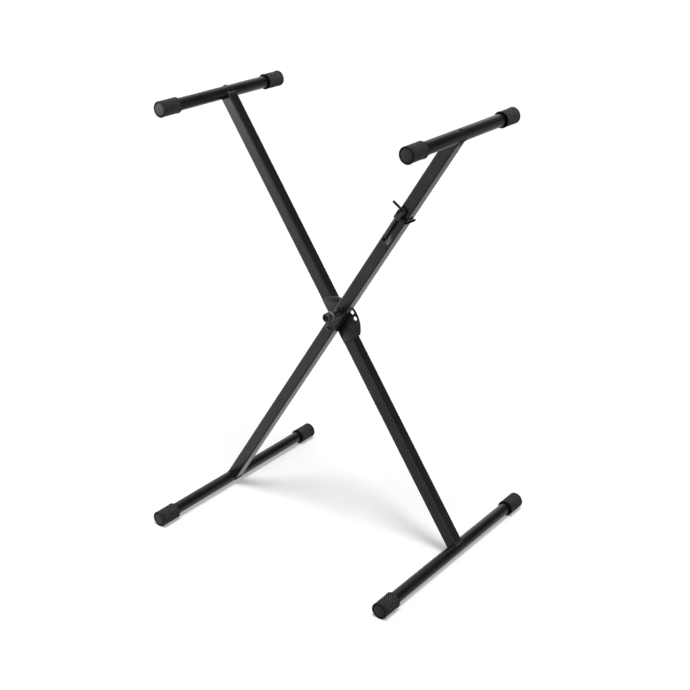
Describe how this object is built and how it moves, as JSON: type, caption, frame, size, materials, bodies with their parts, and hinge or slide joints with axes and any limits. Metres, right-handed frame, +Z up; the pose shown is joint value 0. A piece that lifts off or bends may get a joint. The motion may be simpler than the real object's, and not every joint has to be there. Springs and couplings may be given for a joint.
{
  "type": "folding keyboard stand",
  "caption": "Folding X-shaped stand of two crossed square tubes with capped round bars, a trigger-released lock pin and a slotted height plate at the pivot.",
  "frame": {"origin": "on the floor, midway between the base bars and under the pivot", "axes": "+X to the right across the opened arms, +Y from front to back along the bars, +Z up"},
  "size_m": [0.62, 0.524, 0.9163],
  "materials": {
    "satin_black": "satin black powder coat",
    "cap_rubber": "matt black, finely ridged",
    "black_steel": "blackened steel, semi-gloss",
    "bright_steel": "bright plated",
    "plain_steel": "turned, uncoated",
    "moulded": "fine grained black moulding"
  },
  "bodies": {
    "rear_frame": {"arm_rear": "satin_black", "top_bar_left": "satin_black", "base_bar_right": "satin_black", "bar_screw_left": "black_steel", "arm_plug_left": "moulded", "top_cap_left_front": "cap_rubber", "top_cap_left_back": "cap_rubber", "lock_plate": "satin_black", "pivot_bolt": "black_steel", "pivot_washer": "black_steel", "pivot_nut": "black_steel", "pivot_sleeve_rear": "plain_steel", "pivot_spacer": "moulded"},
    "front_frame": {"arm_front": "satin_black", "top_bar_right": "satin_black", "base_bar_left": "satin_black", "bar_screw_right": "black_steel", "arm_plug_right": "moulded", "top_cap_right_front": "cap_rubber", "top_cap_right_back": "cap_rubber", "lock_barrel": "satin_black", "pin_spring": "plain_steel", "pivot_sleeve_front": "plain_steel", "guide_screw": "black_steel"},
    "trigger": {"trigger_block": "moulded", "finger_bar_left": "black_steel", "finger_bar_right": "black_steel", "pull_rod": "black_steel", "release_ramp": "moulded"},
    "pin": {"lock_pin": "plain_steel", "pin_cross_pin": "plain_steel", "pull_collar": "bright_steel", "pull_knob": "moulded"},
    "cap_left_front": {"base_cap_left_front": "cap_rubber"},
    "cap_left_back": {"base_cap_left_back": "cap_rubber"},
    "cap_right_front": {"base_cap_right_front": "cap_rubber"},
    "cap_right_back": {"base_cap_right_back": "cap_rubber"}
  },
  "joints": [
    {"name": "fold", "type": "hinge", "parent": "rear_frame", "child": "front_frame", "pos_m": [0, 0, 0.46046], "axis": [0, 1, 0], "range_deg": [-62, 32.4]},
    {"name": "trigger_slide", "type": "slide", "parent": "front_frame", "child": "trigger", "axis": [-0.5519, 0, -0.8339], "range_m": [0, 0.0048], "stiffness_N_per_m": 300, "springref_m": 0.03},
    {"name": "pin_slide", "type": "slide", "parent": "front_frame", "child": "pin", "axis": [0, 1, 0], "range_m": [0, 0.0048]},
    {"name": "cap_left_front_turn", "type": "hinge", "parent": "front_frame", "child": "cap_left_front", "pos_m": [-0.29253, -0.238, 0.0185], "axis": [0, 1, 0], "continuous": true},
    {"name": "cap_left_back_turn", "type": "hinge", "parent": "front_frame", "child": "cap_left_back", "pos_m": [-0.29253, 0.238, 0.0185], "axis": [0, 1, 0], "continuous": true},
    {"name": "cap_right_front_turn", "type": "hinge", "parent": "rear_frame", "child": "cap_right_front", "pos_m": [0.29253, -0.238, 0.0185], "axis": [0, 1, 0], "continuous": true},
    {"name": "cap_right_back_turn", "type": "hinge", "parent": "rear_frame", "child": "cap_right_back", "pos_m": [0.29253, 0.238, 0.0185], "axis": [0, 1, 0], "continuous": true}
  ],
  "couplings": [
    {"joint": "pin_slide", "follows": "trigger_slide", "ratio": 1}
  ]
}
